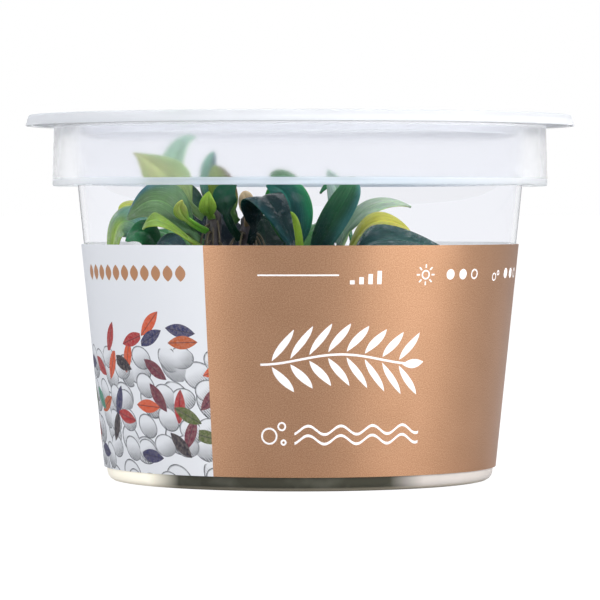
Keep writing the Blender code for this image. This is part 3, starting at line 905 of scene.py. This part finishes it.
# Leaf kinds: screen colours from the petiole to the tip, and how much light passes through
leafKinds = {
    "dark": dict(colours="#2c4a34 #1f4a3c", glow=0.12, roughness=0.26, slot="leaf_dark"),
    "green": dict(colours="#3f6a34 #2f6b3c", glow=0.2, roughness=0.27, slot="leaf_green"),
    "bright": dict(colours="#7d9a48 #8fae4a", glow=0.3, roughness=0.3, slot="leaf_bright"),
    "yellow": dict(colours="#a9ab48 #b9bb4e", glow=0.35, roughness=0.3, slot="leaf_yellow"),
    "pale": dict(colours="#8dbb9c #a8cfc4", glow=0.4, roughness=0.34, slot="leaf_pale"),
    "dry": dict(colours="#8c7f62 #b9ad8c", glow=0.1, roughness=0.55, slot="leaf_dry"),
}
leafSkin = dict(
    mottle=330, streaks=1.6, stretch=(9, 2, 1), veins=6.5, cells=2600,
    wet=520, wetFrom=(0.56, 0.6), wetCoat=(0.05, 0.9),
    layers=(
        ("mottle", 0.3, 0.7, 0, 0.45, (0.6, 0.65, 0.62)),
        ("streaks", 0.5, 0.7, 0, 0.7, (1.5, 1.45, 1.5)),
        ("streaks", 0.5, 0.3, 0, 0.6, (0.6, 0.62, 0.66)),
        ("veins", 0.6, 1, 0, 0.5, (1.5, 1.6, 1.35)),
        ("across", 0, 0.03, 0.4, 0, (1.8, 2, 1.5)),  # midrib
        ("across", 0.465, 0.5, 0, 0.6, (1.9, 1.5, 1)),  # margin
    ),
)


def leafMaterial(kind):
    look, skin = leafKinds[kind], leafSkin
    tree = Tree("leaf" + kind.capitalize())
    place = tree.place()
    where = tree.add("UVMap", uv_map="blade")
    across = tree.absolute(tree.minus(tree.parts(where)[0], 0.5))
    mottle = tree.grain(place, skin["mottle"], 4, 0.6)
    cells = tree.add("TexVoronoi", "Distance", feature="F1", Vector=place, Scale=skin["cells"])
    veins = tree.add(
        "TexWave", "Fac", bands_direction="X", Vector=where, Scale=skin["veins"], Distortion=1.2, Detail=2,
        Detail_Scale=0.6,
    )
    # streaks run along the blade
    stretched = tree.add("Mapping", Vector=where, Scale=skin["stretch"])
    streaks = tree.grain(stretched, skin["streaks"], 3, 0.7)
    colour = tree.add("Attribute", "Color", attribute_name="leafColour")
    follows = dict(mottle=mottle, streaks=streaks, veins=veins, across=across)
    colour = tree.layers(colour, follows, skin["layers"], "MULTIPLY")
    # wet patches that catch the lamps
    wet = tree.spread(tree.grain(place, skin["wet"], 2, 0.6), *skin["wetFrom"], *skin["wetCoat"])
    lift = tree.bump(cells, 0.12, 0.03, Normal=tree.bump(veins, 0.12, 0.08))
    rough = tree.spread(mottle, 0.3, 0.7, look["roughness"] - 0.07, look["roughness"] + 0.1)
    return tree.set(
        Base_Color=colour, Roughness=rough, IOR=1.22, Normal=lift, Coat_Weight=wet, Coat_Roughness=0.08,
        Subsurface_Weight=look["glow"], Subsurface_Radius=(0.5, 1, 0.3), Subsurface_Scale=0.9 * mm,
    )


# stem, share of its height, middle of the blade, tip, width, way the upper side looks, kind
leaves = [
    ("left", 0.98, (-23.7, -1, 57.3), (-19, 1, 63.5), 4.8, (-0.35, -0.85, 0.3), "pale"),
    ("centreLeft", 0.98, (-23.7, -16, 55), (-30.3, -13, 60.2), 8.4, (-0.05, -0.8, 0.6), "bright"),
    ("centreLeft", 0.86, (-24.2, -20, 50.8), (-31.2, -17.5, 47.6), 9, (-0.15, -0.8, 0.6), "green"),
    ("left", 0.97, (-32, -9, 47.4), (-34.1, -8.5, 37), 9.3, (-0.55, -0.5, 0.7), "green"),
    ("left", 0.9, (-29.9, 1, 48.8), (-33.6, 2, 49), 5, (0, -0.3, 1), "yellow"),
    ("centreLeft", 0.83, (-24.1, -24.9, 47.3), (-28, -23.9, 46), 5.6, (-0.1, -0.6, 0.8), "bright"),
    ("centreLeft", 0.5, (-21.6, -26.4, 41.9), (-26.2, -25.2, 41.6), 5.8, (-0.1, -0.6, 0.8), "dark"),
    ("centreLeft", 0.92, (-20.9, -21.5, 48.6), (-20.9, -24, 51.4), 2.6, (-0.2, -0.9, 0.2), "bright"),
    ("centreLeft", 1, (-16.8, -7, 56), (-15.6, -5, 60.6), 5, (-0.75, -0.6, 0.2), "dark"),
    ("centre", 0.98, (-14, -10.8, 53), (-15.6, -11, 57.8), 5.2, (0.1, -0.9, 0.4), "bright"),
    ("centreLeft", 0.98, (-16.6, -19, 50.1), (-16.3, -20, 53), 3.2, (0, -1, 0.2), "yellow"),
    ("centre", 0.9, (-13.6, -17.3, 50.6), (-11.3, -16, 54.1), 4.6, (0, -0.95, 0.3), "dark"),
    ("centre", 0.97, (-9.6, -15.8, 50.4), (-10.3, -16.6, 53), 3, (0.2, -0.9, 0.2), "dry"),
    ("centre", 0.88, (-6.9, -18.5, 51.9), (-0.8, -24, 42), 8.6, (0.36, -0.62, 0.7), "dark"),
    ("middle", 0.97, (-1.7, -12.5, 50), (-6.3, -13.5, 53.9), 8, (0.1, -0.9, 0.35), "dark"),
    ("middle", 0.99, (-2.6, -5.5, 51), (-5.6, -6, 56.1), 7.8, (0.1, -0.9, 0.3), "green"),
    ("middle", 0.8, (-0.9, -17.2, 45.2), (-2, -17.2, 49), 2.6, (0, -1, 0.1), "yellow"),
    ("middle", 0.86, (6.6, -18.4, 48.9), (9.8, -20, 55.2), 5.4, (0.2, -0.95, 0.15), "dark"),
    ("right", 1, (7.2, -9, 51), (4.9, -8, 57), 4.2, (-0.3, -0.9, 0.2), "pale"),
    ("backRight", 0.98, (7.8, 3, 51.2), (3.6, 2, 52.4), 3.5, (0, -0.35, 0.95), "green"),
    ("right", 0.97, (12.5, -5.5, 49.8), (20.6, -4.5, 50), 5.4, (0, -0.45, 0.9), "pale"),
    ("right", 0.9, (12.5, -12.5, 46.6), (20.1, -11.5, 45.6), 7.4, (0.1, -0.5, 0.9), "yellow"),
    ("right", 0.66, (11.8, -22.5, 43.1), (28.4, -18, 41), 11, (0.1, -0.6, 0.8), "dark"),
    ("left", 0.92, (-27.4, -16, 45.2), (-31.5, -15, 43.8), 6, (-0.2, -0.7, 0.7), "green"),
    ("backLeft", 0.98, (-22, 12, 50), (-27, 11, 53), 9, (0.1, -0.8, 0.5), "dark"),
    ("backLeft", 0.9, (-15, 6, 47.5), (-15.5, 3, 52), 7, (0.1, -0.9, 0.3), "dark"),
    ("backLeft", 0.85, (-24, 18, 44), (-29, 20, 45), 8, (-0.3, 0.2, 0.9), "green"),
    ("back", 0.98, (-7, 9, 44.5), (-11, 6, 48), 8, (-0.1, -0.9, 0.3), "dark"),
    ("back", 0.92, (2, 20, 46), (3, 27, 45), 8, (0, 0.3, 0.9), "green"),
    ("back", 0.85, (-8, 20, 44), (-13, 26, 43), 8, (-0.1, 0.3, 0.9), "dark"),
    ("backRight", 0.95, (19, 14, 42), (25, 16, 43), 8, (0.3, 0.2, 0.9), "green"),
    ("backRight", 0.9, (14, 20, 41), (15, 27, 40), 7, (0.1, 0.4, 0.9), "dark"),
    ("centre", 0.72, (-14, -5, 44), (-19.5, -3, 49), 9, (0.1, -0.8, 0.5), "dark"),
    ("centre", 0.7, (-6.5, -3, 42), (-7.5, 0.5, 48), 9, (0, -0.9, 0.4), "dark"),
    ("left", 0.45, (-29, -8, 31), (-33, -4, 29), 8, (-0.3, 0, 0.95), "green"),
    ("centreLeft", 0.45, (-19, -23, 32), (-22, -28, 31), 8, (-0.1, -0.4, 0.9), "dark"),
    ("middle", 0.5, (3, -20, 30), (4, -28, 29), 8, (0, -0.4, 0.9), "green"),
    ("right", 0.5, (17, -11, 30), (26, -13, 30), 8, (0.2, -0.2, 0.95), "dark"),
    ("right", 0.7, (13, -2, 36), (20, 2, 37), 7, (0.2, 0, 0.95), "bright"),
    ("backRight", 0.5, (21, 10, 27), (28, 8, 27), 8, (0.2, 0, 0.95), "green"),
    ("backRight", 0.45, (16, 22, 25), (17, 29, 25), 7, (0, 0.3, 0.95), "dark"),
    ("back", 0.5, (-3, 23, 30), (-5, 30, 30), 8, (0, 0.3, 0.95), "bright"),
    ("backLeft", 0.5, (-26, 14, 30), (-32, 13, 30), 8, (-0.2, 0, 0.95), "dark"),
    ("centre", 0.5, (-3, -4, 32), (0, 3, 33), 7, (0.1, 0.2, 0.95), "green"),
    ("backLeft", 0.6, (-12, 17, 34), (-8, 22, 35), 7, (0.1, 0.3, 0.95), "green"),
]
leafForm = dict(
    across=12, along=34, bellyAt=0.6, outward=0.6, reach=0.4, gap=0.3,
    petiole=0.2, petioleHalf=0.75, petioleShare=0.22, power=0.85,
    petioleThickness=0.8, bladeThinner=0.44, edgeThinner=0.55,
    fold=0.16, dome=0.12, wave=0.05, waves=7, groove=0.18, grooveWide=0.12,
    middle=0.58, rimFrom=0.25, rimFade=0.35, shadeMix=0.25, petioleFade=0.2,
)
# Single leaves whose first bend, petiole or outline differs from the rest
leafShapes = {
    2: {"power": 1.45}, 3: {"rimFrom": 0.5}, 8: {"petiole": 0.45}, 10: {"power": 0.7},
    12: {"petiole": 0.42, "power": 1.1}, 13: {"petiole": 0.35, "power": 0.6}, 17: {"power": 1.2},
    18: {"outward": -1, "power": 0.65}, 21: {"outward": -0.3, "power": 1.2}, 22: {"power": 0.72},
    23: {"petiole": 0.1, "outward": 0, "power": 0.65},
}
# Colours of single leaves that differ from their kind: foot and tip, and for some the edge beside them
leafTints = {
    # the third colour of leaf 3, a slate edge, is a painted sheen
    1: "#749e74 #92b2a0", 2: "#6a8856 #9ea46c #829c66", 3: "#4c6c4c #627e58 #3c6a7c",
    4: "#4f8490 #86a048", 5: "#9aa650 #b6bb5c", 6: "#6f8a3c #7d9a44",
    7: "#1e3038 #2a4044", 8: "#4f8a2c #98a25a", 9: "#0c2c26 #6aa890 #2c5660",
    10: "#2f5426 #6f8636 #5a4228", 11: "#5f8430 #86a442", 12: "#0c2a20 #144432",
    13: "#7c6a50 #bfa98c", 14: "#06181e #072022 #0d3236", 15: "#1c3e4a #245a54 #2c7a54",
    16: "#143c20 #1f6a2c", 17: "#5d7f24 #87a33a", 18: "#223e42 #38684a #4c8084",
    19: "#7d958c #9db3ae", 20: "#1f5a3c #2c6c48", 21: "#78947e #a2b29e",
    22: "#7e8432 #b4ae4a", 23: "#182c34 #2a4846", 24: "#1f5c3a #2c6c46",
    # leaves 28, 33 and 34 are near black: partly their own dark colour, partly painted shade for the shaded
    # depth of the cluster
    25: "#123028 #1a3c30", 26: "#0c1c20 #142c28", 28: "#0c1a18 #122c24",
    33: "#14141e #1c2830", 34: "#10161a #142c26", 36: "#0c1c1c #142826",
}


def leafPath(stemName, share, belly, tip, form):
    root = onStem(stemName, share)
    away = Vector((belly.x - root.x, belly.y - root.y, 0)).normalized()
    start = root + away * (stemRadius(share) + 2 * form["gap"])
    lean = ((belly - start).normalized() + form["outward"] * away).normalized()
    first = start + lean * form["reach"] * (belly - start).length
    t, s = form["bellyAt"], 1 - form["bellyAt"]
    second = (belly - s**3 * start - 3 * t * s * s * first - t**3 * tip) / (3 * t * t * s)
    return start, first, second, tip


def onPath(path, t):
    p0, p1, p2, p3 = path
    s = 1 - t
    point = s**3 * p0 + 3 * t * s * s * p1 + 3 * t * t * s * p2 + t**3 * p3
    flow = s * s * (p1 - p0) + 2 * t * s * (p2 - p1) + t * t * (p3 - p2)
    return point, flow.normalized()


def halfWidth(t, width, form):
    petiole = min(form["petioleHalf"], form["petioleShare"] * width)
    q = max(0, (t - form["petiole"]) / (1 - form["petiole"]))
    swell = (4 * q * (1 - q)) ** form["power"] if q < 1 else 0
    return max(petiole * (1 - q), 0.5 * width * swell)


def leafRows(path, face):
    # the way up is carried from the middle of the blade both ways, without twist
    count = leafForm["along"]
    path = [(k / count, *onPath(path, k / count)) for k in range(count + 1)]
    middle = round(leafForm["middle"] * count)
    flow = path[middle][2]
    ups = {middle: (face - face.dot(flow) * flow).normalized()}
    for order in (range(middle + 1, count + 1), range(middle - 1, -1, -1)):
        before = middle
        for k in order:
            ups[k] = path[before][2].rotation_difference(path[k][2]) @ ups[before]
            before = k
    return [(*spot, ups[k]) for k, spot in enumerate(path)]


def onBlade(number, row, width, form, v):
    # a place on a blade without its thickness, in millimetres, v from -1 at one edge to 1 at the other
    t, point, flow, up = row
    half, edge = halfWidth(t, width, form), abs(v)
    lift = half * (form["fold"] * edge - form["dome"] * v * v)
    lift += half * form["wave"] * edge * math.sin(form["waves"] * t + number + 2 * v)
    groove = form["groove"] * easy(0.15, 0.35, t) * (1 - easy(0.8, 1, t))
    lift -= groove * math.exp(-(v / form["grooveWide"]) ** 2)
    return point + flow.cross(up) * half * v + up * lift


def makeLeaf(number, row, materials):
    stemName, share, belly, tip, width, face, kind = row
    look = leafKinds[kind]
    form = {**leafForm, **leafShapes.get(number, {})}
    petiole, petioleEnd = form["petiole"], form["petiole"] + form["petioleFade"]
    rimFrom, rimTo = form["rimFrom"], form["rimFrom"] + form["rimFade"]
    rows = leafRows(leafPath(stemName, share, Vector(belly), Vector(tip), form), Vector(face))
    foot, end, *rims = map(linear, leafTints.get(number, look["colours"]).split())
    bm = bmesh.new()
    bm.loops.layers.uv.new("blade")
    tint = bm.verts.layers.float_color.new("leafColour")
    thick = bm.verts.layers.deform.verify()
    made = bmesh.ops.create_grid(
        bm, x_segments=leafForm["across"], y_segments=leafForm["along"], size=0.5, calc_uvs=True,
    )
    for vert in made["verts"]:
        v = 2 * vert.co.x
        here = rows[round((vert.co.y + 0.5) * leafForm["along"])]
        t = here[0]
        vert.co = onBlade(number, here, width, form, v) * mm
        shade = form["shadeMix"] * noise.noise(Vector((number * 3.1, 3 * t, 1.5 * v)))
        colour = between(foot, end, easy(0.15, 0.95, t + shade))
        for rim in rims:
            colour = between(colour, rim, easy(0.25, 0.95, v + shade) * easy(rimFrom, rimTo, t))
        vert[tint] = (*colour, 1)
        slim = 1 - form["edgeThinner"] * abs(v) ** 3 if t > petiole else 1
        vert[thick][0] = slim * (1 - form["bladeThinner"] * easy(petiole, petioleEnd, t))
    mergeDoubles(bm)
    piece = makePiece(f"leafBlade{number:02d}", bm, [materials[kind]], [f"leaf_{number:02d}"])
    piece.vertex_groups.new(name="thickness")
    solid = piece.modifiers.new("thickness", "SOLIDIFY")
    solid.thickness = leafForm["petioleThickness"] * mm
    solid.offset = 0
    solid.vertex_group = "thickness"
    solid.use_even_offset = False
    finer = piece.modifiers.new("finer", "SUBSURF")
    finer.levels = finer.render_levels = 1


leafSkins = {kind: leafMaterial(kind) for kind in leafKinds}
for number, row in enumerate(leaves, 1):
    makeLeaf(number, row, leafSkins)
print("leaves ready")


# Studio: a pale floor and a white backdrop, a dim room in front, and soft lamps
studio = dict(
    floor=30, floorDrop=0.05 * mm, floorShown=0.97, floorWhite=(0.05, 0.05, 0.05),
    floorGrey=(0.38, 0.38, 0.39), seen=(1, 1, 1), seenAside=(0.9, 0.91, 0.94),
    room=(0.26, 0.27, 0.3), roomBack=(0.8, 0.8, 0.82), roomTop=(0.32, 0.36, 0.42),
    aim=(0, 0, 0.03), bounces=32, clearWalls=48,
)
lamps = {
    "leftLamp": dict(at=(-1.1, -0.85, 0.45), size=(0.4, 1.2), power=14, colour=(1, 0.99, 0.97)),
    "rightLamp": dict(at=(1.25, -0.72, 0.4), size=(1.5, 1.2), power=34, colour=(1, 0.98, 0.95)),
    "topLamp": dict(at=(0.1, -0.1, 1.3), size=(0.9, 0.9), power=9, colour=(0.9, 0.95, 1)),
}


def shownDirectly(tree):
    # 1 where the eye looks straight or through something clear, 0 for the light that falls on things
    return tree.rays("Camera", "Transmission")


def makeFloor():
    tree = Tree("paleFloor")
    shown = shownDirectly(tree)
    tree.set(
        Base_Color=tree.mix(shown, studio["floorGrey"], studio["floorWhite"]), Roughness=0.9,
        Emission_Color=(1, 1, 1), Emission_Strength=tree.times(shown, studio["floorShown"]),
    )
    bm = bmesh.new()
    bmesh.ops.create_grid(bm, x_segments=1, y_segments=1, size=studio["floor"])
    floor = objectOf("floor", bm, [tree.material])
    floor.location.z = -studio["floorDrop"]


def makeWorld():
    tree = Tree("studio", bpy.data.worlds)
    where = tree.add("TexCoord", "Generated")

    def towards(direction, low, high):
        # 0 to 1 as the view turns towards a direction
        turned = tree.add("VectorMath", "Value", operation="DOT_PRODUCT").node
        tree.put(turned.inputs[0], where)
        turned.inputs[1].default_value = direction
        return tree.add(
            "MapRange", interpolation_type="SMOOTHSTEP", Value=turned.outputs["Value"],
            From_Min=low, From_Max=high,
        )

    back = towards((0, 1, 0), 0.45, 0.8)
    room = tree.mix(back, studio["room"], studio["roomBack"])
    room = tree.mix(towards((0, 0, 1), 0.3, 0.9), room, studio["roomTop"])
    seen = tree.mix(back, studio["seenAside"], studio["seen"])
    seen = tree.mix(tree.rays("Camera"), seen, studio["seen"])
    tree.set(Color=tree.mix(shownDirectly(tree), room, seen))
    bpy.context.scene.world = tree.material


def makeLamps():
    for name, lamp in lamps.items():
        data = bpy.data.lights.new(name, "AREA")
        data.shape = "RECTANGLE"
        data.size, data.size_y = lamp["size"]
        data.energy = lamp["power"]
        data.color = lamp["colour"]
        light = bpy.data.objects.new(name, data)
        light.location = lamp["at"]
        towardsCup = Vector(studio["aim"]) - Vector(lamp["at"])
        light.rotation_euler = towardsCup.to_track_quat("-Z", "Y").to_euler()
        light.visible_camera = light.visible_transmission = False
        bpy.context.collection.objects.link(light)


def setScene(scene):
    # light crosses many walls of clear plastic
    scene.view_settings.view_transform = "Standard"
    scene.cycles.max_bounces = scene.cycles.transmission_bounces = studio["bounces"]
    scene.cycles.transparent_max_bounces = studio["clearWalls"]


makeFloor()
makeWorld()
makeLamps()
setScene(bpy.context.scene)
print("studio ready")
